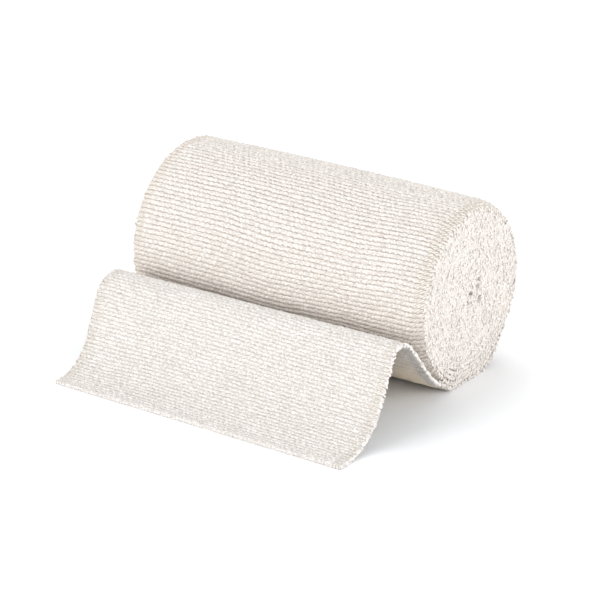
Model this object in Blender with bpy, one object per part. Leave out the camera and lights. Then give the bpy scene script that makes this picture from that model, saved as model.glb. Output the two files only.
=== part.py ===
"""Elastic bandage: a woven cotton strip wound into a roll, with its free tail arched over the surface in front.

Units are metres and +Z is up. The origin is on the surface that the roll stands on, under the roll's axis
and halfway along it. +X runs along the roll's axis, and the tail comes off the roll towards -Y.

The strip is one band of cloth. It is drawn as a line in the YZ plane, carried across its width, and thickened.
"""

import math
from typing import NamedTuple

import bmesh
import bpy

# The strip.
STRIP_WIDTH = 0.100
CLOTH_THICKNESS = 0.0010

# The wound roll. Its diameter is measured from front to back.
ROLL_DIAMETER = 0.0556
WINDING_GAP = 0.0002
CORE_RADIUS = 0.0008
STEPS_PER_TURN = 40

# The roll's own weight presses its underside flat, and this depth of wound cloth gives way to let it.
PRESSED_FLAT = 0.0012
PRESSED_DEPTH = 0.0144

# The first turns lie loose in the rest, so that a crescent gap shows below and behind them.
CORE_SLACK = 0.0004
LOOSE_CORE_TURNS = 2.6
CORE_LEAN_DEG = 145.0

# Each turn's edges stand a little proud of the last turn's, or short of them.
EDGE_WANDER = 0.0003
WANDER_TURNS = 2.7

# The free tail. It leaves the roll at the peel angle, measured round the roll from its underside, and curves up
# to the rise angle.
PEEL_ANGLE_DEG = 36.0
RISE_ANGLE_DEG = 50.0
LIFT_RADIUS = 0.0450
CREST_HEIGHT = 0.0258
TAIL_REACH = 0.0700
JOIN_GAP = 0.0003
LIFT_STEPS = 3
RISE_STEPS = 6
CREST_STEPS = 7
SWEEP_STEPS = 8

# The cotton's colour and surface.
COTTON_COLOUR = (0.87, 0.83, 0.76, 1.0)
COTTON_ROUGHNESS = 0.95


class TailSection(NamedTuple):
    """One cross-section of the tail. Its place and lengths are shares of named sizes."""

    across: float  # of half the strip's width, from -1 to 1
    rise_round: float  # radius up to the crest's top, of the crest's height
    crest_round: float  # radius over the crest's front, of the crest's height
    fall_deg: float  # how steeply the front of the arch comes down
    sweep_round: float  # radius of the sweep on to the surface, of the crest's height
    reach: float  # from under the roll's axis to the cut end, of the tail's reach


TAIL_SECTIONS = (
    TailSection(across=-1.0, rise_round=0.34, crest_round=0.33, fall_deg=66.0, sweep_round=0.58, reach=0.968),
    TailSection(across=-0.5, rise_round=0.34, crest_round=0.29, fall_deg=65.5, sweep_round=0.60, reach=0.975),
    TailSection(across=0.0, rise_round=0.33, crest_round=0.24, fall_deg=64.5, sweep_round=0.65, reach=0.983),
    TailSection(across=0.5, rise_round=0.33, crest_round=0.18, fall_deg=63.0, sweep_round=0.73, reach=0.992),
    TailSection(across=1.0, rise_round=0.32, crest_round=0.14, fall_deg=62.0, sweep_round=0.78, reach=1.0),
)

# What follows from the sizes above. Radii are those of the strip's middle line.
HALF_WIDTH = STRIP_WIDTH / 2
HALF_THICKNESS = CLOTH_THICKNESS / 2
PITCH = CLOTH_THICKNESS + WINDING_GAP
UNDERSIDE_RADIUS = (ROLL_DIAMETER + PITCH) / 2 - HALF_THICKNESS
AXIS_HEIGHT = UNDERSIDE_RADIUS + HALF_THICKNESS - PRESSED_FLAT
PEEL_ANGLE = math.radians(PEEL_ANGLE_DEG)
RISE_ANGLE = math.radians(RISE_ANGLE_DEG)
PEEL_TURNS = PEEL_ANGLE_DEG / 360
TURNS = (UNDERSIDE_RADIUS - CORE_SLACK - CORE_RADIUS) / PITCH


def smooth_step(value):
    """0 below 0, 1 above 1, and an even S-curve between."""
    value = min(1.0, max(0.0, value))
    return value * value * (3 - 2 * value)


def pressed_height(layer):
    """Lowest height of a layer's middle line, counted from 0 outside, where the underside is pressed flat."""
    radius = UNDERSIDE_RADIUS - PITCH * layer
    share = max(0.0, 1 - PITCH * layer / PRESSED_DEPTH)
    return AXIS_HEIGHT - radius + PRESSED_FLAT * share


def wound_point(turns_in):
    """Point (y, z) of the strip's middle line, so many turns in from the middle of the roll's underside."""
    angle = math.tau * (turns_in - 0.25)
    loose = 1 - smooth_step(TURNS - turns_in - LOOSE_CORE_TURNS)
    radius = UNDERSIDE_RADIUS - PITCH * turns_in - CORE_SLACK * loose
    lean = math.radians(CORE_LEAN_DEG)
    y = radius * math.cos(angle) + CORE_SLACK * loose * math.cos(lean)
    z = radius * math.sin(angle) + CORE_SLACK * loose * math.sin(lean) + AXIS_HEIGHT
    return y, max(z, pressed_height(round(turns_in)))


def winding_stations():
    """Turn counts of the winding's stations, from the peel point in to the core."""
    steps_out = max(1, round(PEEL_TURNS * STEPS_PER_TURN))
    steps_in = int(TURNS * STEPS_PER_TURN)
    outer = [-PEEL_TURNS * (1 - step / steps_out) for step in range(steps_out)]
    return outer + [step / STEPS_PER_TURN for step in range(steps_in + 1)]


class Pen:
    """Draws a line of straights and arcs in the YZ plane. Its heading is 0 towards -Y, and rises with the line."""

    def __init__(self, y, z, heading):
        """Puts the pen down at (y, z)."""
        self.y = y
        self.z = z
        self.heading = heading
        self.points = [(y, z)]

    def straight(self, length):
        """Draws on along the heading."""
        self.y -= length * math.cos(self.heading)
        self.z += length * math.sin(self.heading)
        self.points.append((self.y, self.z))

    def arc(self, radius, heading, steps):
        """Turns to a new heading, down or up, on an arc of this radius in equal steps."""
        turn = (heading - self.heading) / steps
        chord = 2 * radius * math.sin(abs(turn) / 2)
        for _ in range(steps):
            self.heading += turn / 2
            self.straight(chord)
            self.heading += turn / 2


def tail_line(section):
    """The tail's middle line at one cross-section: off the roll, over the crest and out along the surface."""
    rise_radius = section.rise_round * CREST_HEIGHT
    crest_radius = section.crest_round * CREST_HEIGHT
    sweep_radius = section.sweep_round * CREST_HEIGHT
    fall = math.radians(section.fall_deg)
    crest_top = CREST_HEIGHT - HALF_THICKNESS
    pen = Pen(*wound_point(-PEEL_TURNS), PEEL_ANGLE)
    pen.straight(JOIN_GAP)
    pen.arc(LIFT_RADIUS, RISE_ANGLE, LIFT_STEPS)
    rise_end = crest_top - rise_radius * (1 - math.cos(RISE_ANGLE))
    pen.straight((rise_end - pen.z) / math.sin(RISE_ANGLE))
    pen.arc(rise_radius, 0.0, RISE_STEPS)
    pen.arc(crest_radius, -fall, CREST_STEPS)
    sweep_start = HALF_THICKNESS + sweep_radius * (1 - math.cos(fall))
    pen.straight((pen.z - sweep_start) / math.sin(fall))
    pen.arc(sweep_radius, 0.0, SWEEP_STEPS)
    pen.straight(pen.y + section.reach * TAIL_REACH)
    return pen.points[1:]


def sheet_object(name, lines, material):
    """A sheet of cloth through neighbouring lines of points, thickened evenly on both sides.

    lines holds one list of (x, y, z) points for each cross-section, from -X to +X.
    """
    bm = bmesh.new()
    rows = [[bm.verts.new(point) for point in line] for line in lines]
    for left, right in zip(rows, rows[1:]):
        for step in range(len(left) - 1):
            bm.faces.new((left[step], right[step], right[step + 1], left[step + 1]))
    mesh = bpy.data.meshes.new(name)
    bm.to_mesh(mesh)
    bm.free()
    mesh.materials.append(material)
    mesh.shade_smooth()
    sheet = bpy.data.objects.new(name, mesh)
    bpy.context.scene.collection.objects.link(sheet)
    solidify = sheet.modifiers.new("Cloth thickness", "SOLIDIFY")
    solidify.thickness = CLOTH_THICKNESS
    solidify.offset = 0.0
    solidify.use_even_offset = True
    return sheet


def wound_roll(material):
    """The wound turns, from the peel point round and in to the core."""
    lines = ([], [])
    for turns_in in winding_stations():
        y, z = wound_point(turns_in)
        wander = EDGE_WANDER * math.sin(math.tau * max(0.0, turns_in) / WANDER_TURNS)
        for line, side in zip(lines, (-1, 1)):
            line.append((side * HALF_WIDTH + wander, y, z))
    return sheet_object("wound_roll", lines, material)


def free_tail(material):
    """The free end of the strip, from the peel point to its cut end."""
    lines = [
        [(section.across * HALF_WIDTH, y, z) for y, z in tail_line(section)]
        for section in TAIL_SECTIONS
    ]
    return sheet_object("free_tail", lines, material)


def cotton_material():
    """Undyed woven cotton: a warm off-white with no gloss."""
    material = bpy.data.materials.new("woven_cotton")
    material.use_nodes = True
    shader = material.node_tree.nodes["Principled BSDF"]
    shader.inputs["Base Color"].default_value = COTTON_COLOUR
    shader.inputs["Roughness"].default_value = COTTON_ROUGHNESS
    shader.inputs["Metallic"].default_value = 0.0
    return material


def main():
    """Clears the scene and makes the bandage."""
    for old in list(bpy.data.objects):
        bpy.data.objects.remove(old, do_unlink=True)
    cotton = cotton_material()
    wound_roll(cotton)
    free_tail(cotton)


main()
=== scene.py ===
"""Elastic bandage: the woven cloth, its selvedge loops and cut end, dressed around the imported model.

The bandage is one strip. It is wound into a roll, and its free tail arches over the floor in front. Every
piece here follows the same strip: the line that it takes in the YZ plane, its width along X, and a weave of
ribs across the strip with warp threads passing over and under them.
"""

import logging
import math
from dataclasses import dataclass, replace
from enum import Enum
from typing import NamedTuple

import bpy
import numpy as np
from mathutils import Matrix, Vector

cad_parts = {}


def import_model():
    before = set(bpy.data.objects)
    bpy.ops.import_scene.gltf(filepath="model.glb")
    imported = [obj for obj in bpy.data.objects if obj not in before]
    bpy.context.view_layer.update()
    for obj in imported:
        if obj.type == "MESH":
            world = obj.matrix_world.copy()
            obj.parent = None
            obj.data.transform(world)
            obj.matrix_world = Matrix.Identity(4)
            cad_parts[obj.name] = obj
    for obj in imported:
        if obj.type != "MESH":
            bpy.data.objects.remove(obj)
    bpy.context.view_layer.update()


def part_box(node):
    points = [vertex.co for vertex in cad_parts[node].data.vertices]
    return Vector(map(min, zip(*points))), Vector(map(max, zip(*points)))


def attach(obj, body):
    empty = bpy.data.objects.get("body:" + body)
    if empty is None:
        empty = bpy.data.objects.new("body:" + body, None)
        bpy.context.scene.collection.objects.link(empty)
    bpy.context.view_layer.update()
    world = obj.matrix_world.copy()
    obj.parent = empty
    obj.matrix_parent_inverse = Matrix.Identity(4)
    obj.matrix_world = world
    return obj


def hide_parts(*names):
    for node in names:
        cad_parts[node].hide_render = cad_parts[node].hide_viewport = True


log = logging.getLogger("bandage")

Array = np.ndarray
Piece = bpy.types.Object
Socket = bpy.types.NodeSocket

MM = 0.001
BODY = "root"
THREAD_MAP = "threads"

# How many points a line is measured with, and how far apart two lines are that give its normal.
LINE_POINTS = 60000
NORMAL_GAP = 0.1 * MM

# Measured from the photograph.
PEEL_ANGLE = math.radians(36)
ROLL_RIB_PITCH = 1.40 * MM
TAIL_RIB_PITCH = 1.14 * MM


class Side(Enum):
    """An edge of the strip, by the sign of its X."""

    LEFT = -1
    RIGHT = 1


def smooth(value: Array) -> Array:
    """An even S-curve from 0 to 1: 3v^2 - 2v^3, with v held between 0 and 1."""
    value = np.clip(value, 0.0, 1.0)
    return value * value * (3 - 2 * value)


def rib_number(rib: Array) -> Array:
    """Number of the rib at each place. A hair is added, so that a whole place isn't rounded down."""
    return np.floor(rib + 1e-6)


def ends_fade(rib: Array, total: int, over: float) -> Array:
    """A share of 1 along the cloth, that rises from 0 over its first ribs and falls to 0 over its last."""
    return np.clip(rib / over, 0, 1) * np.clip((total - rib) / over, 0, 1)


def either_way(random: np.random.Generator, *shape: int) -> Array:
    """Random values from -1 to 1."""
    return 2 * random.random(shape) - 1


def unit(vectors: Array) -> Array:
    """Rows of vectors at length 1."""
    return vectors / np.linalg.norm(vectors, axis=1, keepdims=True)


@dataclass(frozen=True)
class SoftNoise:
    """Smooth noise from 0 to 1 on a plane: random values at whole numbers, joined by S-curves."""

    seed: int
    cells: int = 97

    def lattice(self) -> Array:
        """The random value at each whole number."""
        return np.random.default_rng(self.seed).random((self.cells, self.cells))

    def cell(self, a: Array, b: Array) -> Array:
        """One random value from 0 to 1 for each whole pair of coordinates, with no joining between them."""
        a, b = np.broadcast_arrays(np.floor(a).astype(int), np.floor(b).astype(int))
        return self.lattice()[a % self.cells, b % self.cells]

    def at(self, a: Array, b: Array) -> Array:
        """The noise: values at the four whole corners, joined by an S-curve both ways.

        Args:
            a: First coordinate, in cells.
            b: Second coordinate, in cells.

        Returns:
            The values, from 0 to 1.
        """
        a, b = np.broadcast_arrays(np.asarray(a, float), np.asarray(b, float))
        low_a, low_b = np.floor(a).astype(int), np.floor(b).astype(int)
        share_a, share_b = smooth(a - low_a), smooth(b - low_b)
        table, n = self.lattice(), self.cells
        high_a, high_b = (low_a + 1) % n, (low_b + 1) % n
        low_a, low_b = low_a % n, low_b % n
        near = table[low_a, low_b] * (1 - share_a) + table[high_a, low_b] * share_a
        far = table[low_a, high_b] * (1 - share_a) + table[high_a, high_b] * share_a
        return near * (1 - share_b) + far * share_b


@dataclass(frozen=True)
class Strip:
    """The strip's sizes, in metres."""

    width: float
    thickness: float = 1.0 * MM
    pitch: float = 1.2 * MM

    @property
    def half(self) -> float:
        """Half the strip's width."""
        return self.width / 2


@dataclass(frozen=True)
class Weave:
    """The cloth's weave. Thread coordinates count warp threads across the strip, and ribs along it.

    Each noise below has its own seed and cell size, and fixed offsets that keep its coordinates positive.
    """

    rib_pitch: float
    warp_pitch: float = 0.95 * MM
    rib_height: float = 0.46 * MM
    cell_height: float = 0.06 * MM
    uneven: float = 0.20 * MM
    slant: float = 0.12
    wave: float = 0.75
    ragged: float = 0.16
    lump: float = 0.20 * MM
    slow_width: float = 22 * MM
    slow_ribs: float = 14.0
    slow_share: float = 1.5
    quick_width: float = 5 * MM
    quick_ribs: float = 1.7
    quick_share: float = 0.3
    rough_width: float = 0.7 * MM
    saw_curve: float = 0.7
    dash_depth: float = 0.15
    least_depth: float = 0.7
    depth_spread: float = 0.5
    stoutness: float = 0.3
    seed: int = 3

    def dash(self, warp: Array, line: Array) -> Array:
        """Place along a groove's dashes, each two warp threads long and half a dash off its neighbours."""
        return (warp + line) / 2 + 60

    def drift(self, across: Array, rib: Array) -> Array:
        """How far each rib strays along the strip, in ribs.

        Slow noise across the strip, changing rib by rib, bends the ribs, and finer noise makes them
        ragged. A saw wave tilts each dash of a groove, because the yarn between two warp threads lies
        aslant. Between two grooves the saw goes evenly from the one's to the other's.

        Args:
            across: Place across the strip, in metres.
            rib: Place along the strip, in ribs.

        Returns:
            The shift, in ribs.
        """
        slow = SoftNoise(self.seed).at(across / self.slow_width + 40, rib / self.slow_ribs) - 0.5
        quick = SoftNoise(self.seed + 1).at(across / self.quick_width + 40, rib / self.quick_ribs) - 0.5
        row = rib_number(rib)
        share = rib - row
        tilt = 0.0
        for line, weight in ((row, 1 - share), (row + 1, share)):
            place = self.dash(across / self.warp_pitch, line)
            saw = 2 * np.abs(2 * (place - np.floor(place)) ** self.saw_curve - 1) - 1
            tilt = tilt + weight * saw
        rough = SoftNoise(self.seed + 5).at(across / self.rough_width + 90, rib * 1.9) - 0.5
        bent = self.wave * (self.slow_share * slow + self.quick_share * quick)
        return bent + self.slant * tilt + self.ragged * rough

    def relief(self, warp: Array, rib: Array) -> Array:
        """Height of the cloth's face above the bottom of its grooves.

        A rib's section is a half circle, but its grooves run in dashes, shallower where a warp thread
        bridges them, and soft noise along each groove changes its depth. Along the rib the yarn swells
        where it passes over a warp thread, and each crossing has its own height.

        Args:
            warp: Place across the strip, in warp threads.
            rib: Place along the strip, in ribs.

        Returns:
            Heights, in metres.
        """
        row = rib_number(rib)
        share = rib - row
        ridge = np.sqrt(np.clip(1 - (2 * share - 1) ** 2, 0, 1))
        line = np.where(share < 0.5, row, row + 1)
        place = self.dash(warp, line)
        middle = 0.5 - 0.5 * np.cos(math.tau * place)
        own = SoftNoise(self.seed + 2).at(warp * 1.1 + 190, line * 7.3 + 30)
        bridged = 1 - self.dash_depth + self.dash_depth * middle
        depth = bridged * (self.least_depth + self.depth_spread * own)
        crossing = np.cos(math.pi * (warp + row))
        swell = SoftNoise(self.seed + 3).at(warp * 0.9 + 190, row * 5.3 + 30) - 0.5
        stout = SoftNoise(self.seed + 4).cell(row + 30, row + 7) - 0.5
        height = self.rib_height * (1 + self.stoutness * stout) * (1 - depth * (1 - ridge))
        lumps = SoftNoise(self.seed + 6).at(warp * 1.7 + 90, rib * 2.6 + 30) - 0.5
        return height + ridge * (self.cell_height * crossing + self.uneven * swell) + self.lump * lumps


@dataclass(frozen=True)
class Winding:
    """The roll's line: a spiral of the strip's middle line, pressed flat below, with a loose core."""

    strip: Strip
    underside_radius: float
    axis_height: float
    peel: float
    core_radius: float = 0.8 * MM
    slack: float = 0.4 * MM
    loose_turns: float = 2.6
    lean: float = math.radians(145)
    pressed_depth: float = 14.4 * MM
    crown: float = 0.50 * MM
    taper: float = 0.50 * MM
    right_shoulder: float = 2.1 * MM
    shoulder_share: float = 0.09
    shaped_above: float = 9 * MM

    @property
    def turns(self) -> float:
        """How many turns the strip makes, from the middle of the underside in to the core."""
        return (self.underside_radius - self.slack - self.core_radius) / self.strip.pitch

    @property
    def peel_turns(self) -> float:
        """The turns between the middle of the underside and the place where the tail leaves."""
        return self.peel / math.tau

    def line(self, turns: Array) -> tuple[Array, Array]:
        """The middle line: a spiral that loses one pitch a turn, its core set loose towards one side, and
        held above the height where its own weight presses each layer flat.

        Args:
            turns: Turns in from the middle of the underside.

        Returns:
            Y and Z, in metres.
        """
        angle = math.tau * (turns - 0.25)
        loose = 1 - smooth(self.turns - turns - self.loose_turns)
        radius = self.underside_radius - self.strip.pitch * turns - self.slack * loose
        y = radius * np.cos(angle) + self.slack * loose * math.cos(self.lean)
        z = radius * np.sin(angle) + self.slack * loose * math.sin(self.lean) + self.axis_height
        layer = np.round(turns)
        flat = self.underside_radius + self.strip.thickness / 2 - self.axis_height
        share = np.clip(1 - self.strip.pitch * layer / self.pressed_depth, 0, 1)
        lowest = self.axis_height - (self.underside_radius - self.strip.pitch * layer) + flat * share
        return y, np.maximum(z, lowest)

    def along(self, start: float, step: float, count: int) -> Array:
        """Turn counts of points that lie evenly along the strip.

        Args:
            start: Turn count of the first point.
            step: Distance between points, in metres of strip.
            count: How many points.

        Returns:
            The turn counts, found by adding up short chords of the line.
        """
        fine = np.linspace(start, self.turns, LINE_POINTS)
        y, z = self.line(fine)
        run = np.concatenate([[0], np.cumsum(np.hypot(np.diff(y), np.diff(z)))])
        return np.interp(step * np.arange(count), run, fine)

    def length(self, start: float, end: float) -> float:
        """Length of strip between two turn counts, in metres."""
        y, z = self.line(np.linspace(start, end, LINE_POINTS))
        return float(np.hypot(np.diff(y), np.diff(z)).sum())

    def surface(self, across: Array, turns: Array, lift: Array) -> Array:
        """Points of the wound cloth: the line, carried across the width and lifted along its own normal.

        The lift also has a crown in the middle, a slight taper to the right and a drawn-in shoulder at
        the right end. These fade out towards the core and down at the floor.

        Args:
            across: X of each point.
            turns: Turn count of each point.
            lift: Height above the strip's middle, in metres.

        Returns:
            Points, with a last axis of 3.
        """
        across, turns, lift = np.broadcast_arrays(across, turns, lift)
        step = 1e-4
        y, z = self.line(turns)
        next_y, next_z = self.line(turns + step)
        last_y, last_z = self.line(turns - step)
        tangent = np.stack([next_y - last_y, next_z - last_z])
        tangent /= np.hypot(*tangent) + 1e-12
        share = np.clip(across / self.strip.half, -1, 1)
        right = np.clip((share - 1) / self.shoulder_share + 1, 0, 1)
        swell = self.crown * (1 - share**2) - self.taper * share - self.right_shoulder * right**2
        outer = np.clip(1 - turns / self.turns, 0, 1)
        lift = lift + swell * outer * smooth(z / self.shaped_above)
        return np.stack([across, y + lift * tangent[1], z - lift * tangent[0]], axis=-1)


@dataclass(frozen=True)
class TailEdge:
    """The tail's side view at one selvedge. Radii are shares of the crest's height."""

    rise_round: float
    crest_round: float
    fall: float
    sweep_round: float
    reach: float

    def towards(self, other: "TailEdge", share: Array) -> "TailEdge":
        """The side view this share of the way to the other selvedge, each value on a straight line."""
        mixed = {
            name: getattr(self, name) * (1 - share) + getattr(other, name) * share
            for name in ("rise_round", "crest_round", "fall", "sweep_round", "reach")
        }
        return TailEdge(**mixed)


@dataclass(frozen=True)
class TailLine:
    """The free tail's line: off the roll, over the crest and out along the floor."""

    strip: Strip
    winding: Winding
    crest_height: float
    reach: float
    rise: float = math.radians(50)
    lift_radius: float = 45 * MM
    left: TailEdge = TailEdge(0.34, 0.33, math.radians(66), 0.58, 0.976)
    right: TailEdge = TailEdge(0.32, 0.14, math.radians(62), 0.78, 1.0)
    steps: int = 1200

    def surface(self, across: Array, share: Array, lift: Array) -> Array:
        """Points of the tail's cloth.

        The line's heading is added up along its length: it turns up off the roll, down over the crest in
        two arcs, and back to level in a sweep. Straights between the arcs bring the crest to its height
        and the cut end to its reach.

        Args:
            across: X of each column of points.
            share: Place of each row along the tail, from 0 at the roll to 1 at the cut end.
            lift: Height above the strip's middle, with a row for each share and a column for each X.

        Returns:
            Points, with a last axis of 3.
        """
        column = (across / self.strip.half + 1) / 2
        edge = self.left.towards(self.right, column)
        y0, z0 = (float(v) for v in self.winding.line(np.array(-self.winding.peel_turns)))
        peel, rise, top = self.winding.peel, self.rise, self.crest_height - self.strip.thickness / 2
        rise_radius, crest_radius = edge.rise_round * self.crest_height, edge.crest_round * self.crest_height
        sweep_radius = edge.sweep_round * self.crest_height
        lift_top = z0 + self.lift_radius * (math.cos(peel) - math.cos(rise))
        climb = (top - rise_radius * (1 - math.cos(rise)) - lift_top) / math.sin(rise)
        sweep_top = self.strip.thickness / 2 + sweep_radius * (1 - np.cos(edge.fall))
        drop = (top - crest_radius * (1 - np.cos(edge.fall)) - sweep_top) / np.sin(edge.fall)
        arcs = [
            self.lift_radius * (rise - peel) + 0 * column,
            climb,
            rise_radius * rise,
            crest_radius * edge.fall,
            drop,
            sweep_radius * edge.fall,
        ]
        out = (
            self.lift_radius * (math.sin(rise) - math.sin(peel))
            + climb * math.cos(rise)
            + rise_radius * math.sin(rise)
            + crest_radius * np.sin(edge.fall)
            + drop * np.cos(edge.fall)
            + sweep_radius * np.sin(edge.fall)
        )
        last = edge.reach * self.reach + y0 - out
        ends = np.cumsum(arcs, axis=0)
        total = ends[-1] + last
        fine = np.linspace(0, 1, self.steps)[:, None]
        run = fine * total

        def turned(first: Array, size: Array) -> Array:
            """Share of an arc that lies behind each point."""
            return np.clip((run - first) / size, 0, 1)

        heading = (
            peel
            + (rise - peel) * turned(0, ends[0])
            - rise * turned(ends[1], arcs[2])
            - edge.fall * turned(ends[2], arcs[3])
            + edge.fall * turned(ends[4], arcs[5])
        )
        chord = total / (self.steps - 1)
        middle = (heading[1:] + heading[:-1]) / 2
        y = y0 - np.concatenate([0 * run[:1], np.cumsum(np.cos(middle) * chord, axis=0)])
        z = z0 + np.concatenate([0 * run[:1], np.cumsum(np.sin(middle) * chord, axis=0)])
        place = share * (self.steps - 1)
        low = np.clip(np.floor(place).astype(int), 0, self.steps - 2)
        part = place - low
        columns = np.broadcast_to(np.arange(len(column)), low.shape)

        def read(table: Array) -> Array:
            """A table's value at each row's place."""
            return table[low, columns] * (1 - part) + table[low + 1, columns] * part

        angle = read(heading)
        at_y, at_z = read(y) + lift * np.sin(angle), read(z) + lift * np.cos(angle)
        return np.stack([np.broadcast_to(across, at_y.shape), at_y, at_z], axis=-1)

    def length(self) -> float:
        """Length of the tail along its middle, in metres."""
        rows = np.linspace(0, 1, self.steps)[:, None]
        points = self.surface(np.array([0.0]), rows, np.zeros((self.steps, 1)))[:, 0]
        return float(np.linalg.norm(np.diff(points, axis=0), axis=1).sum())


def triangles(piece: Piece) -> int:
    """How many triangles a mesh piece has."""
    return sum(len(face.vertices) - 2 for face in piece.data.polygons)


def placed(name: str, data: bpy.types.ID) -> Piece:
    """Puts data into the scene as an object.

    Args:
        name: The object's name.
        data: A mesh, a camera or a light.

    Returns:
        The object.
    """
    thing = bpy.data.objects.new(name, data)
    bpy.context.scene.collection.objects.link(thing)
    return thing


def mesh_piece(
    name: str, points: Array, corners: Array, starts: Array, threads: Array | None = None
) -> Piece:
    """Puts whole arrays into a new mesh piece.

    Args:
        name: The piece's name.
        points: Vertices, of shape (n, 3).
        corners: Vertex number of each face corner.
        starts: First corner of each face.
        threads: Thread coordinates of each vertex, of shape (n, 2), kept as the piece's UV map.

    Returns:
        The piece, smooth shaded, at the origin.
    """
    mesh = bpy.data.meshes.new(name)
    mesh.vertices.add(len(points))
    mesh.vertices.foreach_set("co", points.astype(np.float32).ravel())
    mesh.loops.add(len(corners))
    mesh.loops.foreach_set("vertex_index", corners.astype(np.int32))
    mesh.polygons.add(len(starts))
    mesh.polygons.foreach_set("loop_start", starts.astype(np.int32))
    mesh.update(calc_edges=True)
    if threads is not None:
        layer = mesh.uv_layers.new(name=THREAD_MAP)
        layer.data.foreach_set("uv", threads[corners].astype(np.float32).ravel())
    mesh.validate()
    mesh.shade_smooth()
    return placed(name, mesh)


def tube_faces(rings: int, around: int, copies: int) -> tuple[Array, Array]:
    """Faces of closed tubes: a quad between each two rings and two sides, and one face over each end.

    Args:
        rings: Rings along each tube.
        around: Vertices in each ring.
        copies: How many tubes, each with rings times around vertices.

    Returns:
        The corners, and the first corner of each face.
    """
    ring, side = np.meshgrid(np.arange(rings - 1), np.arange(around), indexing="ij")
    after = (side + 1) % around
    here, there = ring * around, (ring + 1) * around
    quads = np.stack([here + side, here + after, there + after, there + side], axis=-1).reshape(-1)
    first = np.arange(around)[::-1]
    last = (rings - 1) * around + np.arange(around)
    one = np.concatenate([quads, first, last])
    sizes = np.concatenate([np.full(len(quads) // 4, 4), [around, around]])
    corners = (one[None, :] + (np.arange(copies) * rings * around)[:, None]).reshape(-1)
    sizes = np.tile(sizes, copies)
    return corners, np.concatenate([[0], np.cumsum(sizes)[:-1]])


def tube_piece(
    name: str, points: Array, threads: Array | None = None, lowest: float = 0.0
) -> Piece:
    """A mesh piece of closed tubes, held above the floor.

    Args:
        name: The piece's name.
        points: Vertices, of shape (tubes, rings, around, 3), or (rings, around, 3) for one tube.
        threads: Thread coordinates of each vertex, if any.
        lowest: Least height of a vertex.

    Returns:
        The piece.
    """
    points[..., 2] = np.maximum(points[..., 2], lowest)
    rings, around = points.shape[-3:-1]
    points = points.reshape(-1, 3)
    corners, starts = tube_faces(rings, around, len(points) // (rings * around))
    return mesh_piece(name, points, corners, starts, threads)


@dataclass(frozen=True)
class Section:
    """How finely a band of cloth is divided across: its face, its two rounded edges and its back.

    The nose is how far the rounding of an edge reaches in.
    """

    face: int
    back: int
    nose: float = 0.5 * MM
    edge: int = 4

    def places(self, strip: Strip, inset: float) -> tuple[Array, Array]:
        """Places round the band's section: X from edge to edge on the face, round the edge and back.

        Args:
            strip: The strip's sizes.
            inset: How far the woven edge lies inside the strip's full width.

        Returns:
            X of each place, and its height as a share from 1 on the face to -1 on the back.
        """
        half, round_it = strip.half - inset, self.nose
        turn = np.linspace(0, math.pi, self.edge + 2)[1:-1]
        face = np.linspace(-(half - round_it), half - round_it, self.face)
        back = np.linspace(half - round_it, -(half - round_it), self.back)
        right = half - round_it + round_it * np.sin(turn)
        across = np.concatenate([face, right, back, -right])
        height = np.concatenate([np.ones(self.face), np.cos(turn), -np.ones(self.back), -np.cos(turn)])
        return across, height


@dataclass(frozen=True)
class Cloth:
    """Builds closed bands of woven cloth along the strip."""

    strip: Strip
    weave: Weave
    base: float = -0.30 * MM
    inset: float = 0.05 * MM

    def heights(self, across: Array, side: Array, rib: Array) -> Array:
        """Height of each point above the strip's middle: half the thickness and the weave's relief, on
        whichever side the point lies, and less round the edges.

        Args:
            across: X of each point.
            side: From 1 on the face to -1 on the back.
            rib: Place along the strip, in ribs.

        Returns:
            Heights, in metres.
        """
        warp = across / self.weave.warp_pitch
        relief = self.weave.relief(warp + (side < 0), rib)
        return side * (self.strip.thickness / 2 + self.base + relief)

    def threads(self, across: Array, rib: Array) -> Array:
        """Thread coordinates of each point, for the finish."""
        across, rib = np.broadcast_arrays(across / self.weave.warp_pitch, rib)
        return np.stack([across, rib], axis=-1).reshape(-1, 2)


class Tone(NamedTuple):
    """A colour of the cotton, in linear light."""

    red: float
    green: float
    blue: float
    alpha: float = 1.0


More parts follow.
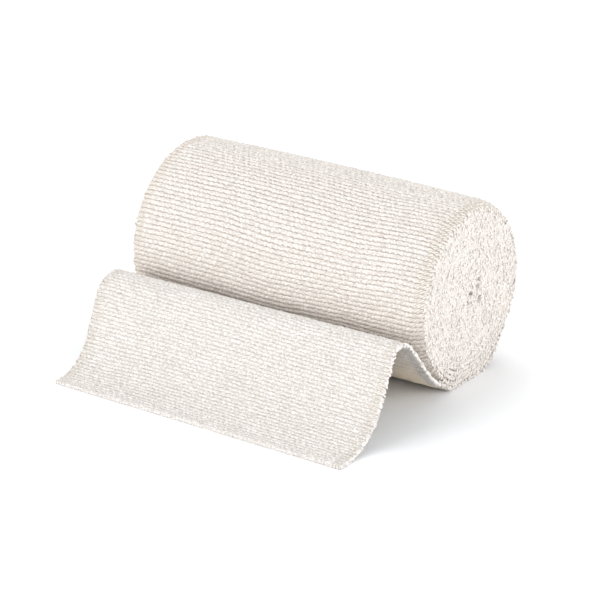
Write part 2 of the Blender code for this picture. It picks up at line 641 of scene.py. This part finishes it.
class Nodes:
    """Short words for making shader nodes in one tree."""

    def __init__(self, tree: bpy.types.NodeTree) -> None:
        """Takes the tree that the nodes go into."""
        self.tree = tree

    def add(self, kind: str, **settings: object) -> bpy.types.Node:
        """Adds a node and sets its properties.

        Args:
            kind: The node's type name.
            **settings: Property names and values.

        Returns:
            The node.
        """
        node = self.tree.nodes.new(kind)
        for name, value in settings.items():
            setattr(node, name, value)
        return node

    def feed(self, target: Socket, source: object) -> None:
        """Links a socket to a source, or sets it to a plain value.

        Args:
            target: The socket that is fed.
            source: A socket or a value.
        """
        if isinstance(source, Socket):
            self.tree.links.new(source, target)
        else:
            target.default_value = source

    def math(
        self, operation: str, first: object, second: object = 0.0, third: object = 0.0
    ) -> Socket:
        """A Math node's result.

        Args:
            operation: The Math node's operation.
            first: First value or socket.
            second: Second value or socket.
            third: Third value or socket.

        Returns:
            The output socket.
        """
        node = self.add("ShaderNodeMath", operation=operation)
        for target, source in zip(node.inputs, (first, second, third)):
            self.feed(target, source)
        return node.outputs[0]

    def product(self, *factors: object) -> Socket:
        """The product of two or more values.

        Args:
            *factors: Values or sockets.

        Returns:
            The product's socket.
        """
        result = factors[0]
        for factor in factors[1:]:
            result = self.math("MULTIPLY", result, factor)
        return result

    def join(self, x: object, y: object) -> Socket:
        """A vector in the XY plane.

        Args:
            x: Value or socket.
            y: Value or socket.

        Returns:
            The vector's socket.
        """
        node = self.add("ShaderNodeCombineXYZ")
        self.feed(node.inputs["X"], x)
        self.feed(node.inputs["Y"], y)
        return node.outputs["Vector"]

    def parts(self, vector: object) -> bpy.types.NodeOutputs:
        """The axes of a vector.

        Args:
            vector: The vector's socket.

        Returns:
            The X, Y and Z sockets.
        """
        node = self.add("ShaderNodeSeparateXYZ")
        self.feed(node.inputs[0], vector)
        return node.outputs

    def blend(self, share: object, first: object, second: object) -> Socket:
        """Mixes two colours by a share.

        Args:
            share: From 0 for the first to 1 for the second.
            first: First colour or socket.
            second: Second colour or socket.

        Returns:
            The mixed colour's socket.
        """
        node = self.add("ShaderNodeMix", data_type="RGBA")
        self.feed(node.inputs["Factor"], share)
        self.feed(node.inputs["A"], first)
        self.feed(node.inputs["B"], second)
        return node.outputs["Result"]

    def tint(self, colour: object, tone: Tone, share: object, strength: float) -> Socket:
        """Mixes a tone into a colour, by a share times a strength."""
        return self.blend(self.product(share, strength), colour, tone)

    def noise(self, vector: object, scale: float, detail: float = 2.0) -> Socket:
        """A Noise Texture's value, from 0 to 1.

        Args:
            vector: The coordinates' socket.
            scale: Cells in a unit of the coordinates.
            detail: How many finer layers it has.

        Returns:
            The value's socket.
        """
        node = self.add("ShaderNodeTexNoise")
        self.feed(node.inputs["Vector"], vector)
        node.inputs["Scale"].default_value = scale
        node.inputs["Detail"].default_value = detail
        return node.outputs["Fac"]

    def spread(
        self, value: object, low: float, high: float, start: float = 0.0, end: float = 1.0
    ) -> Socket:
        """Maps a value on an even S-curve.

        Args:
            value: The value's socket.
            low: The value that gives the start.
            high: The value that gives the end.
            start: Result at and below the low value.
            end: Result at and above the high value.

        Returns:
            The mapped value's socket.
        """
        node = self.add("ShaderNodeMapRange", interpolation_type="SMOOTHSTEP")
        self.feed(node.inputs["Value"], value)
        node.inputs["From Min"].default_value = low
        node.inputs["From Max"].default_value = high
        node.inputs["To Min"].default_value = start
        node.inputs["To Max"].default_value = end
        return node.outputs["Result"]

    def cell_noise(self, first: object, second: object) -> Socket:
        """A random value from 0 to 1 for each pair of whole numbers.

        Args:
            first: First number's socket.
            second: Second number's socket.

        Returns:
            The value's socket.
        """
        node = self.add("ShaderNodeTexWhiteNoise", noise_dimensions="2D")
        self.feed(node.inputs["Vector"], self.join(first, second))
        return node.outputs["Value"]


def new_group(name: str, vector: str, values: tuple[str, ...]) -> tuple[Nodes, Socket, dict]:
    """Starts a shader node group that makes values from one vector.

    Args:
        name: The group's name.
        vector: Name of its input.
        values: Names of its outputs.

    Returns:
        Its nodes, the socket of its input, and the sockets of its outputs by name.
    """
    tree = bpy.data.node_groups.new(name, "ShaderNodeTree")
    tree.interface.new_socket(name=vector, in_out="INPUT", socket_type="NodeSocketVector")
    for label in values:
        tree.interface.new_socket(name=label, in_out="OUTPUT", socket_type="NodeSocketFloat")
    nodes = Nodes(tree)
    source, target = nodes.add("NodeGroupInput"), nodes.add("NodeGroupOutput")
    return nodes, source.outputs[vector], {label: target.inputs[label] for label in values}


def fibre_group() -> bpy.types.NodeTree:
    """Cotton fibre, used by every finish: a fine fuzz to feed a bump, light and dark spots, the dark ones
    being painted shade among bunched fibres, a slow mottling, and rare seed flecks.

    The fuzz is the sum of two fine noises. The spots, painted shade among the fibres, come from a noise
    about as fine as a yarn's fibres bunch.
    The flecks are the peaks of another. Scales are in cells to a metre.
    """
    nodes, place, given = new_group("cotton_fibre", "Place", ("Fuzz", "Speck", "Mottle", "Fleck"))
    fine = nodes.noise(place, 4200.0, 2.0)
    lumps = nodes.noise(place, 1500.0, 1.0)
    nodes.feed(given["Fuzz"], nodes.math("MULTIPLY_ADD", fine, 0.4, nodes.product(lumps, 0.6)))
    # Painted shade among bunched fibres, as fine dark spots.
    nodes.feed(given["Speck"], nodes.spread(nodes.noise(place, 2300.0, 1.0), 0.36, 0.64))
    nodes.feed(given["Mottle"], nodes.spread(nodes.noise(place, 160.0, 2.0), 0.30, 0.70))
    nodes.feed(given["Fleck"], nodes.spread(nodes.noise(place, 900.0, 0.0), 0.86, 0.92))
    return nodes.tree


def weave_group() -> bpy.types.NodeTree:
    """Where the threads lie, from thread coordinates: how deep in a groove's dash a point is, the selvedge
    band, the lightness of each crossing, and the twist of the yarn.

    A groove is deepest where the rib's share along the strip is 0 or 1. Its dashes come from a cosine of
    the warp coordinate that changes sign from rib to rib, and noise along the groove makes them uneven.
    The selvedge band is the last few warp threads, and slanted ticks cross it, two to a rib.
    """
    nodes, place, given = new_group("weave_threads", "Threads", ("GrooveShade", "Selvedge", "Crossing", "Twist"))
    groove_width, dash_swing, dash_middle = 0.19, -0.08, 0.92
    band_start, band_full = 48.6, 50.2
    tick_width, tick_depth, ticks_per_rib = 0.24, 0.8, 2.0
    threads = nodes.parts(place)
    warp, rib = threads["X"], threads["Y"]
    shallow = nodes.spread(nodes.math("PINGPONG", rib, 0.5), 0.0, groove_width, 1.0, 0.0)
    line = nodes.math("ROUND", rib)
    turn = nodes.product(nodes.math("ADD", warp, line), 0.5, math.tau)
    dash = nodes.math("MULTIPLY_ADD", nodes.math("COSINE", turn), dash_swing, dash_middle)
    along = nodes.join(nodes.product(warp, 1.5), nodes.product(line, 7.3))
    depth = nodes.spread(nodes.noise(along, 1.0, 1.0), 0.30, 0.70, 0.40, 1.0)
    band = nodes.spread(nodes.math("ABSOLUTE", warp), band_start, band_full)
    aslant = nodes.math("PINGPONG", nodes.math("MULTIPLY_ADD", rib, ticks_per_rib, warp), 0.5)
    ticks = nodes.product(nodes.spread(aslant, 0.0, tick_width, tick_depth, 0.0), band)
    # This mask sets where the finish paints shade into the grooves; the same mask also darkens the selvedge
    # band's slanted ticks.
    nodes.feed(given["GrooveShade"], nodes.math("MAXIMUM", nodes.product(shallow, dash, depth), ticks))
    nodes.feed(given["Selvedge"], band)
    thread, row = nodes.math("FLOOR", nodes.math("ADD", warp, 0.5)), nodes.math("FLOOR", rib)
    nodes.feed(given["Crossing"], nodes.cell_noise(thread, row))
    yarn = nodes.math("MULTIPLY_ADD", rib, 0.8, nodes.product(warp, 2.2))
    nodes.feed(given["Twist"], nodes.noise(nodes.join(yarn, nodes.product(rib, 1.6)), 1.5, 1.0))
    return nodes.tree


def new_material(name: str) -> tuple[bpy.types.Material, bpy.types.ShaderNode]:
    """Starts a material.

    Args:
        name: The material's name.

    Returns:
        The material and its shader.
    """
    material = bpy.data.materials.new(name)
    material.use_nodes = True
    return material, material.node_tree.nodes["Principled BSDF"]


@dataclass(frozen=True)
class CottonFinish:
    """A finish of undyed cotton. The bump's distance is in metres."""

    name: str
    cotton: Tone
    shade: Tone
    # Tone of the painted shade among bunched fibres, also mixed in at random crossings as their own
    # lightness.
    speck: Tone
    # Tone of the painted shade in the weave's grooves, also used on the selvedge band's slanted ticks.
    grooveshade: Tone
    fleck: Tone
    selvedge: Tone
    # Tone of the painted warm shade low in the crease between the roll's front and the tail.
    painted_crease_tone: Tone
    roughness: float
    bump: float
    woven: bool
    # Strength of the painted shade among the fibres.
    fibre_shade_share: float = 0.6
    # Strength of the painted groove shade.
    grooves: float = 0.92
    band: float = 0.3
    crossings: float = 0.25
    flecks: float = 0.4
    twist: float = 1.2

    def painted_crease_share(
        self, nodes: Nodes, place: Socket, edge: Socket
    ) -> Socket:
        """Share from 0 to 1 of the painted warm shade: low on the roll's front under the tail, and not on
        the selvedge.

        Args:
            nodes: The material's nodes.
            place: The point's place.
            edge: Share of the selvedge band.

        Returns:
            The share's socket.
        """
        axes = nodes.parts(place)
        low = nodes.spread(axes["Z"], 5 * MM, 24 * MM, 1.0, 0.0)
        inner = nodes.spread(axes["Y"], -41 * MM, -34 * MM)
        front = nodes.spread(axes["Y"], -14 * MM, -6 * MM, 1.0, 0.0)
        return nodes.product(low, inner, front, nodes.math("SUBTRACT", 1.0, edge))

    def material(self, fibre: bpy.types.NodeTree, weave: bpy.types.NodeTree) -> bpy.types.Material:
        """Builds the material: mottled cotton with painted shade among the fibres as fine dark spots,
        painted shade in the weave's grooves, and painted warm yellowish shade low in the crease under the
        tail, with a fuzzy bump.

        Args:
            fibre: The cotton fibre group.
            weave: The weave group, used where the finish is woven.

        Returns:
            The material.
        """
        material, shader = new_material(self.name)
        nodes = Nodes(material.node_tree)
        place = nodes.add("ShaderNodeTexCoord").outputs["Object"]
        fuzz = nodes.add("ShaderNodeGroup", node_tree=fibre)
        nodes.feed(fuzz.inputs["Place"], place)
        colour = nodes.blend(fuzz.outputs["Mottle"], self.shade, self.cotton)
        # Painted shade among bunched fibres, as fine dark spots.
        colour = nodes.tint(colour, self.speck, fuzz.outputs["Speck"], self.fibre_shade_share)
        height = fuzz.outputs["Fuzz"]
        if self.woven:
            threads = nodes.add("ShaderNodeUVMap", uv_map=THREAD_MAP)
            lie = nodes.add("ShaderNodeGroup", node_tree=weave)
            nodes.feed(lie.inputs["Threads"], threads.outputs["UV"])
            edge = lie.outputs["Selvedge"]
            colour = nodes.tint(colour, self.speck, lie.outputs["Crossing"], self.crossings)
            colour = nodes.tint(colour, self.selvedge, edge, self.band)
            # Painted warm shade low in the crease between the roll's front and the tail.
            colour = nodes.blend(self.painted_crease_share(nodes, place, edge), colour, self.painted_crease_tone)
            # Painted shade in the weave's grooves, and the same darkening on the selvedge band's slanted
            # ticks.
            colour = nodes.tint(colour, self.grooveshade, lie.outputs["GrooveShade"], self.grooves)
            height = nodes.math("MULTIPLY_ADD", lie.outputs["Twist"], self.twist, height)
        colour = nodes.tint(colour, self.fleck, fuzz.outputs["Fleck"], self.flecks)
        nodes.feed(shader.inputs["Base Color"], colour)
        shader.inputs["Roughness"].default_value = self.roughness
        shader.inputs["Specular IOR Level"].default_value = 0.1
        bump = nodes.add("ShaderNodeBump")
        bump.inputs["Strength"].default_value = 1.0
        bump.inputs["Distance"].default_value = self.bump
        nodes.feed(bump.inputs["Height"], height)
        nodes.feed(shader.inputs["Normal"], bump.outputs["Normal"])
        return material


@dataclass(frozen=True)
class CorePits:
    """Small pits in the right end of the roll, where the first turns lie loose."""

    axis_height: float
    places: tuple[tuple[float, float], ...] = (
        (4.7 * MM, 3.6 * MM),
        (3.7 * MM, 1.3 * MM),
        (4.7 * MM, -2.9 * MM),
        (-1.2 * MM, -2.2 * MM),
    )
    radius: float = 1.0 * MM
    depth: float = 3.0 * MM

    def sunk(self, y: Array, z: Array) -> Array:
        """How far points of the end are sunk: an S-curve from the full depth at a pit's middle to none at
        its radius.

        Args:
            y: Y of each point.
            z: Z of each point.

        Returns:
            Depths, in metres.
        """
        depth = 0.0 * y
        for pit_y, pit_z in self.places:
            away = np.hypot(y - pit_y, z - self.axis_height - pit_z)
            depth = np.maximum(depth, self.depth * smooth(2 - 2 * away / self.radius))
        return depth


@dataclass(frozen=True)
class RollCloth:
    """The wound cloth: its outermost turn in full weave, in lengths, and the turns inside it."""

    cloth: Cloth
    winding: Winding
    pits: CorePits
    samples: int = 4
    lengths: int = 2
    outer_turns: float = 1.04
    outer: Section = Section(face=316, back=10)
    inner: Section = Section(face=4, back=4, nose=0.14 * MM)
    inner_samples: int = 2
    skew: float = 0.9 * MM
    slow_wander: float = 0.06 * MM
    quick_wander: float = 0.05 * MM
    wave_turns: float = 2.7
    quick_rate: float = 7.1
    quick_start: float = 1.3
    table_steps: int = 8
    faded_ribs: float = 4.0

    def band(
        self, name: str, section: Section, first_rib: int, ribs: int, samples: int, full: bool = False
    ) -> Piece:
        """A length of wound cloth, between two grooves.

        Each place round the band's section is carried along the spiral. Its distance along the strip is its
        rib count, shifted by the rib's own drift, times the rib pitch.

        Args:
            name: The piece's name.
            section: How finely it is divided across.
            first_rib: The rib that it starts at, counted from the tail.
            ribs: How many ribs long it is.
            samples: Points in each rib.
            full: True where the cloth swells to fill its whole pitch, as it does between other turns.

        Returns:
            The piece.
        """
        weave = self.cloth.weave
        across, side = section.places(self.cloth.strip, self.cloth.inset)
        rib = first_rib + np.arange(ribs * samples + 1)[:, None] / samples
        total = self.rib_count()
        drift = weave.drift(across, rib) * ends_fade(rib, total, self.faded_ribs)
        steps = self.table_steps
        table = self.winding.along(-self.winding.peel_turns, weave.rib_pitch / steps, total * steps + 1)
        turns = np.interp(rib + drift, np.arange(total * steps + 1) / steps, table)
        lift = self.cloth.heights(across, side, rib)
        if full:
            lift = side * self.cloth.strip.pitch / 2
        points = self.winding.surface(across, turns, lift)
        right_edge = across > self.cloth.strip.half - 2 * section.nose
        points[..., 0] += self.wander(turns) - right_edge * self.pits.sunk(points[..., 1], points[..., 2])
        return tube_piece(name, points, self.cloth.threads(across, rib))

    def ribs_to(self, turns: float) -> int:
        """How many whole ribs lie between the tail and a turn count."""
        return int(self.winding.length(-self.winding.peel_turns, turns) / self.cloth.weave.rib_pitch)

    def rib_count(self) -> int:
        """How many whole ribs the wound cloth has."""
        return self.ribs_to(self.winding.turns)

    def wander(self, turns: Array) -> Array:
        """How far the cloth strays along X: a slow wave over the turns with a quicker one on it, and a skew
        that puts the roll's back to the right and its front to the left.

        Args:
            turns: Turn count of each point.

        Returns:
            The shift, in metres.
        """
        slow = self.slow_wander * np.sin(math.tau * np.maximum(turns, 0) / self.wave_turns)
        quick = self.quick_wander * np.sin(turns * self.quick_rate + self.quick_start)
        behind = np.cos(math.tau * (turns - 0.25)) * np.clip(1 - turns / self.winding.turns, 0, 1)
        return slow + quick + self.skew * behind

    def outer_ribs(self) -> int:
        """How many whole ribs the outermost turn has."""
        return self.ribs_to(self.outer_turns - self.winding.peel_turns)

    def pieces(self) -> list[Piece]:
        """The lengths of the outermost turn."""
        outer_ribs = self.outer_ribs()
        made, first = [], 0
        for number in range(self.lengths):
            ribs = (outer_ribs * (number + 1)) // self.lengths - first
            piece = self.band(f"outer_cloth_{number + 1}", self.outer, first, ribs, self.samples)
            made.append(piece)
            first += ribs
        return made

    def inner_turns(self, edging: list[Piece]) -> Piece:
        """The turns inside the outermost one.

        Args:
            edging: The loops along the roll's two ends; not used.

        Returns:
            The piece.
        """
        first = self.outer_ribs()
        ribs = self.rib_count() - first
        inner = self.band("inner_turns", self.inner, first, ribs, self.inner_samples, full=True)
        return inner


@dataclass(frozen=True)
class TailCloth:
    """The free tail's cloth, woven on both sides."""

    cloth: Cloth
    line: TailLine
    samples: int = 4
    section: Section = Section(face=316, back=54)
    faded_ribs: float = 6.0

    def ribs(self) -> int:
        """How many ribs the tail has."""
        return round(self.line.length() / self.cloth.weave.rib_pitch)

    def share(self, across: Array, rib: Array) -> Array:
        """Share of the way along the tail, with each rib's drift fading out at the roll and the cut end.

        Args:
            across: X of each point.
            rib: Place along the tail, in ribs.

        Returns:
            From 0 at the roll to 1 at the cut end.
        """
        total = self.ribs()
        drift = self.cloth.weave.drift(across, rib) * ends_fade(rib, total, self.faded_ribs)
        return (rib + drift) / total

    def piece(self, edging: list[Piece]) -> Piece:
        """The tail as one closed band, from the roll to the cut end.

        Args:
            edging: The pieces along its edges; not used.

        Returns:
            The piece.
        """
        across, side = self.section.places(self.cloth.strip, self.cloth.inset)
        rib = np.arange(self.ribs() * self.samples + 1)[:, None] / self.samples
        woven = np.minimum(rib, self.ribs() - 0.5)
        lift = self.cloth.heights(across, side, woven)
        points = self.line.surface(across, self.share(across, rib), lift)
        piece = tube_piece("tail_cloth", points, self.cloth.threads(across, woven))
        flat = (self.cloth.strip.width, self.line.length())
        return piece


@dataclass(frozen=True)
class LoopShape:
    """A weft loop where it turns back round the selvedge, with its spread of sizes."""

    out: float = 0.20 * MM
    half_height: float = 0.34 * MM
    thick: float = 0.24 * MM
    broad: float = 0.30 * MM
    rings: int = 5
    around: int = 5
    spread: float = 0.42
    tilt: float = 1.5
    scatter: float = 0.62 * MM
    bent: float = 1.75
    taper: float = 2.1
    seed: int = 11

    def mesh(
        self, name: str, side: Side, middle: Array, above: Array, pits: CorePits | None = None
    ) -> Piece:
        """Many loops as one mesh.

        Each loop's centre line is a half ellipse from the cloth's face, out past the edge and round to its
        back, and its section is a small ellipse, broad along the edge. Sizes and tilts are random, seeded.

        Args:
            name: The piece's name.
            side: Which selvedge.
            middle: Foot of each loop, on the strip's middle line.
            above: A point straight out of the cloth's face from each foot.
            pits: Pits that the loops sink into, if any.

        Returns:
            The piece.
        """
        outward = np.zeros(middle.shape)
        outward[:, 0] = side.value
        normal = above - middle
        normal[:, 0] = 0
        normal = unit(normal)
        along = np.cross(outward, normal)
        count = len(middle)
        random = np.random.default_rng(self.seed)
        size = 1 + self.spread * either_way(random, 4, count, 1, 1, 1)
        tilt = self.tilt * either_way(random, count, 1)
        nudge = self.scatter * either_way(random, 2, count, 1)
        leaning = normal * np.cos(tilt) + along * np.sin(tilt)
        beside = along * np.cos(tilt) - normal * np.sin(tilt)
        foot = middle + along * nudge[0] + normal * nudge[1]
        if pits:
            foot = foot - outward * pits.sunk(foot[:, 1], foot[:, 2])[:, None]
        foot, outward, leaning, beside = (
            rows[:, None, None, :] for rows in (foot, outward, leaning, beside)
        )
        bend = np.linspace(-self.bent, self.bent, self.rings)[:, None, None]
        turn = np.linspace(0, math.tau, self.around, endpoint=False)[:, None]
        taper = np.sqrt(np.clip(1 - (bend / self.taper) ** 2, 0.1, 1))
        away = self.thick * size[2] * np.cos(turn) * taper
        points = (
            foot
            + outward * (self.out * size[0] * np.cos(bend) + away * np.cos(bend))
            + leaning * (self.half_height * size[1] * np.sin(bend) + away * np.sin(bend))
            + beside * (self.broad * size[3] * np.sin(turn) * taper)
        )
        return tube_piece(name, points)


@dataclass(frozen=True)
class SelvedgeLoops:
    """The weft loops along both selvedges, on the roll's two ends and along the tail."""

    roll: RollCloth
    tail: TailCloth
    end_shape: LoopShape
    tail_shape: LoopShape
    foot: float = 0.26 * MM
    per_rib: float = 2.5
    uneven: float = 0.27 * MM

    def on_roll(self, side: Side) -> Piece:
        """The loops on one end of the roll: along the whole spiral, evenly spaced.

        Args:
            side: Which end.

        Returns:
            The piece.
        """
        winding, strip = self.roll.winding, self.roll.cloth.strip
        pitch = self.roll.cloth.weave.rib_pitch / self.per_rib
        length = winding.length(-winding.peel_turns, winding.turns)
        turns = winding.along(-winding.peel_turns, pitch, int(length / pitch))
        across = np.full(len(turns), side.value * (strip.half - self.foot))
        middle = winding.surface(across, turns, 0.0 * turns)
        above = winding.surface(across, turns, NORMAL_GAP + 0.0 * turns)
        random = np.random.default_rng(self.end_shape.seed + side.value)
        middle[:, 0] += self.roll.wander(turns) + side.value * self.uneven * either_way(random, len(turns))
        pits = self.roll.pits if side is Side.RIGHT else None
        return self.end_shape.mesh(f"end_loops_{side.name.lower()}", side, middle, above, pits)

    def on_tail(self, side: Side) -> Piece:
        """The loops along one selvedge of the tail, two to a rib.

        Args:
            side: Which selvedge.

        Returns:
            The piece.
        """
        line, strip = self.tail.line, self.tail.cloth.strip
        rib = np.arange(0.5, self.tail.ribs(), 0.5)[:, None]
        across = np.array([side.value * (strip.half - self.foot)])
        share = self.tail.share(across, rib)
        flat = np.zeros(share.shape)
        middle = line.surface(across, share, flat)[:, 0]
        above = line.surface(across, share, flat + NORMAL_GAP)[:, 0]
        return self.tail_shape.mesh(f"tail_loops_{side.name.lower()}", side, middle, above)


@dataclass(frozen=True)
class CutEnd:
    """The warp ends that stand out of the tail's cut end. Their roots lie inside the cloth."""

    tail: TailCloth
    radius: float = 0.17 * MM
    reach: float = 0.9 * MM
    shortest: float = 0.15
    root: float = 0.4 * MM
    uneven: float = 0.2 * MM
    bend: float = 0.5 * MM
    taper: float = 0.45
    lowest: float = 0.02 * MM
    rings: int = 4
    around: int = 5
    seed: int = 23

    def piece(self) -> Piece:
        """The warp ends as one mesh: a short tube for each thread, its tip bent at random, seeded.

        Returns:
            The piece.
        """
        cloth, line = self.tail.cloth, self.tail.line
        half = cloth.strip.half - 2 * cloth.weave.warp_pitch
        across = np.arange(-half, half, cloth.weave.warp_pitch)
        count = len(across)
        random = np.random.default_rng(self.seed)
        far = np.ones((1, count))
        end = line.surface(across, far, np.zeros((1, count)))[0]
        before = line.surface(across, far - 0.01, np.zeros((1, count)))[0]
        ahead = unit(end - before)
        sideways = np.array([1.0, 0.0, 0.0]) + 0 * ahead
        up = np.cross(sideways, ahead)
        up *= np.sign(up[:, 2:])
        foot = end - ahead * self.root + up * (self.uneven * either_way(random, count, 1))
        long = self.reach * (self.shortest + (1 - self.shortest) * random.random((count, 1, 1, 1)) ** 2)
        bend = self.bend * either_way(random, count, 1, 1, 1)
        foot, ahead, sideways, up = (rows[:, None, None, :] for rows in (foot, ahead, sideways, up))
        way = np.linspace(0, 1, self.rings)[:, None, None]
        turn = np.linspace(0, math.tau, self.around, endpoint=False)[:, None]
        thick = self.radius * (1 - self.taper * way**2)
        points = (
            foot
            + ahead * (way * (long + self.root))
            + sideways * (bend * way**2 + thick * np.cos(turn))
            + up * (thick * np.sin(turn))
        )
        return tube_piece("cut_warp_ends", points, lowest=self.lowest)


@dataclass(frozen=True)
class Lamp:
    """A broad, far white light. Its softness is the angle that it spans."""

    name: str
    energy: float
    toward: tuple[float, float, float]
    softness: float = math.radians(45)


@dataclass(frozen=True)
class Studio:
    """A pale floor, plain soft light, and a camera at the photograph's angle."""

    azimuth: float = math.radians(33.35)
    elevation: float = math.radians(22.85)
    distance: float = 776.8 * MM
    lens: float = 153.8
    sensor: float = 36.0
    nearest: float = 10 * MM
    aim: tuple[float, float, float] = (-9.2 * MM, 0.0, 11.9 * MM)
    floor_half: float = 4.0
    floor_white: tuple[float, float, float, float] = (0.93, 0.93, 0.93, 1.0)
    sky: float = 0.72
    sky_white: tuple[float, float, float, float] = (0.97, 1.0, 1.03, 1.0)
    lamps: tuple[Lamp, ...] = (
        Lamp("front", 2.7, (-0.55, -0.95, 0.2)),
        Lamp("behind", 1.0, (-0.6, 0.5, 1.0)),
        Lamp("right", 2.15, (1.0, 0.25, 0.12)),
        Lamp("right_above", 0.48, (1.0, -0.2, 0.6)),
    )

    def camera(self) -> Piece:
        """The camera, looking at its aim from this azimuth, elevation and distance."""
        level, high = math.cos(self.elevation), math.sin(self.elevation)
        back = Vector((math.sin(self.azimuth) * level, -math.cos(self.azimuth) * level, high))
        right = Vector((math.cos(self.azimuth), math.sin(self.azimuth), 0))
        turned = Matrix((right, back.cross(right), back)).transposed().to_4x4()
        data = bpy.data.cameras.new("camera")
        data.lens = self.lens
        data.sensor_width = self.sensor
        data.clip_start = self.nearest
        camera = placed("camera", data)
        camera.matrix_world = Matrix.Translation(Vector(self.aim) + back * self.distance) @ turned
        bpy.context.scene.camera = camera
        return camera

    def floor(self) -> Piece:
        """A wide white floor under the bandage."""
        half = self.floor_half
        corners = [(-half, -half, 0), (half, -half, 0), (half, half, 0), (-half, half, 0)]
        mesh = bpy.data.meshes.new("floor")
        mesh.from_pydata(corners, [], [(0, 1, 2, 3)])
        material, shader = new_material("white_floor")
        shader.inputs["Base Color"].default_value = self.floor_white
        shader.inputs["Roughness"].default_value = 1.0
        shader.inputs["Specular IOR Level"].default_value = 0.0
        mesh.materials.append(material)
        floor = placed("floor", mesh)
        return floor

    def lights(self) -> None:
        """An even white sky, and the lamps."""
        world = bpy.data.worlds.new("studio")
        world.use_nodes = True
        background = world.node_tree.nodes["Background"]
        background.inputs["Color"].default_value = self.sky_white
        background.inputs["Strength"].default_value = self.sky
        bpy.context.scene.world = world
        for lamp in self.lamps:
            data = bpy.data.lights.new(lamp.name, "SUN")
            data.energy = lamp.energy
            data.angle = lamp.softness
            light = placed(lamp.name, data)
            light.rotation_euler = Vector(lamp.toward).to_track_quat("Z", "Y").to_euler()

    def build(self) -> None:
        """Builds all of it, with plain display colours."""
        bpy.context.scene.view_settings.view_transform = "Standard"
        self.camera()
        self.floor()
        self.lights()


def dress(piece: Piece, material: bpy.types.Material, node: str | None = None) -> None:
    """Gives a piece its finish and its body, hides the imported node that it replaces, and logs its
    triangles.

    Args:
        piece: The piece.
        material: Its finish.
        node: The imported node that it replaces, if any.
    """
    piece.data.materials.append(material)
    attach(piece, BODY)
    if node:
        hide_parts(node)
    log.info("%s: %d triangles", piece.name, triangles(piece))


def main() -> None:
    """Loads the frame, builds the strip piece by piece, and dresses it."""
    logging.basicConfig(level=logging.INFO, format="%(message)s")
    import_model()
    Studio().build()

    roll_low, roll_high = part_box("wound_roll")
    tail_low, tail_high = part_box("free_tail")
    strip = Strip(width=tail_high.x - tail_low.x)
    radius = (roll_high.y - roll_low.y + strip.pitch) / 2 - strip.thickness / 2
    top = radius - strip.pitch / 2 + strip.thickness / 2
    winding = Winding(strip, radius, roll_high.z - top, PEEL_ANGLE)
    line = TailLine(strip, winding, crest_height=tail_high.z, reach=-tail_low.y)

    cloth = Cloth(strip, Weave(rib_pitch=ROLL_RIB_PITCH))
    tail_weave = Cloth(strip, Weave(rib_pitch=TAIL_RIB_PITCH, rib_height=0.38 * MM, seed=17))
    roll = RollCloth(cloth, winding, CorePits(winding.axis_height))
    tail = TailCloth(tail_weave, line)
    tail_loop = LoopShape(out=0.46 * MM, half_height=0.50 * MM, thick=0.30 * MM, tilt=0.8, scatter=0.22 * MM)
    loops = SelvedgeLoops(roll, tail, LoopShape(), tail_loop)

    fibre, weave = fibre_group(), weave_group()
    woven = CottonFinish(
        name="woven_cotton",
        cotton=Tone(0.88, 0.83, 0.785),
        shade=Tone(0.86, 0.805, 0.755),
        speck=Tone(0.56, 0.51, 0.47),
        # The fibre, groove and crease tones are painted shade; the fleck and selvedge tones are the cotton's
        # own.
        grooveshade=Tone(0.24, 0.19, 0.15),
        fleck=Tone(0.35, 0.28, 0.18),
        selvedge=Tone(0.86, 0.80, 0.70),
        painted_crease_tone=Tone(0.90, 0.79, 0.64),
        roughness=0.95,
        bump=0.20 * MM,
        woven=True,
        fibre_shade_share=0.85,
    )
    laid = replace(
        woven,
        name="tail_cotton",
        cotton=Tone(0.88, 0.85, 0.82),
        shade=Tone(0.86, 0.83, 0.79),
        grooves=0.66,
        band=0.1,
    )
    looped = replace(
        woven,
        name="looped_cotton",
        cotton=Tone(0.89, 0.845, 0.815),
        shade=Tone(0.87, 0.82, 0.785),
        speck=Tone(0.66, 0.615, 0.58),
        bump=0.16 * MM,
        woven=False,
        fibre_shade_share=0.65,
    )
    roll_finish = woven.material(fibre, weave)
    tail_finish = laid.material(fibre, weave)
    loop_finish = looped.material(fibre, weave)
    # The inner turns show between the end loops; their darker cotton is painted shade in those gaps.
    sunk = replace(looped, name="inner_cotton_painted_shade", cotton=Tone(0.70, 0.65, 0.60), shade=Tone(0.62, 0.57, 0.52))
    painted_shade_inner_finish = sunk.material(fibre, weave)

    edging = [loops.on_tail(side) for side in Side] + [CutEnd(tail).piece()]
    for piece in roll.pieces():
        dress(piece, roll_finish, "wound_roll")
    end_loops = [loops.on_roll(side) for side in Side]
    dress(roll.inner_turns(end_loops), painted_shade_inner_finish, "wound_roll")
    for piece in end_loops:
        dress(piece, loop_finish, "wound_roll")
    dress(tail.piece(edging), tail_finish, "free_tail")
    for piece in edging:
        dress(piece, loop_finish, "free_tail")


if __name__ == "__main__":
    main()
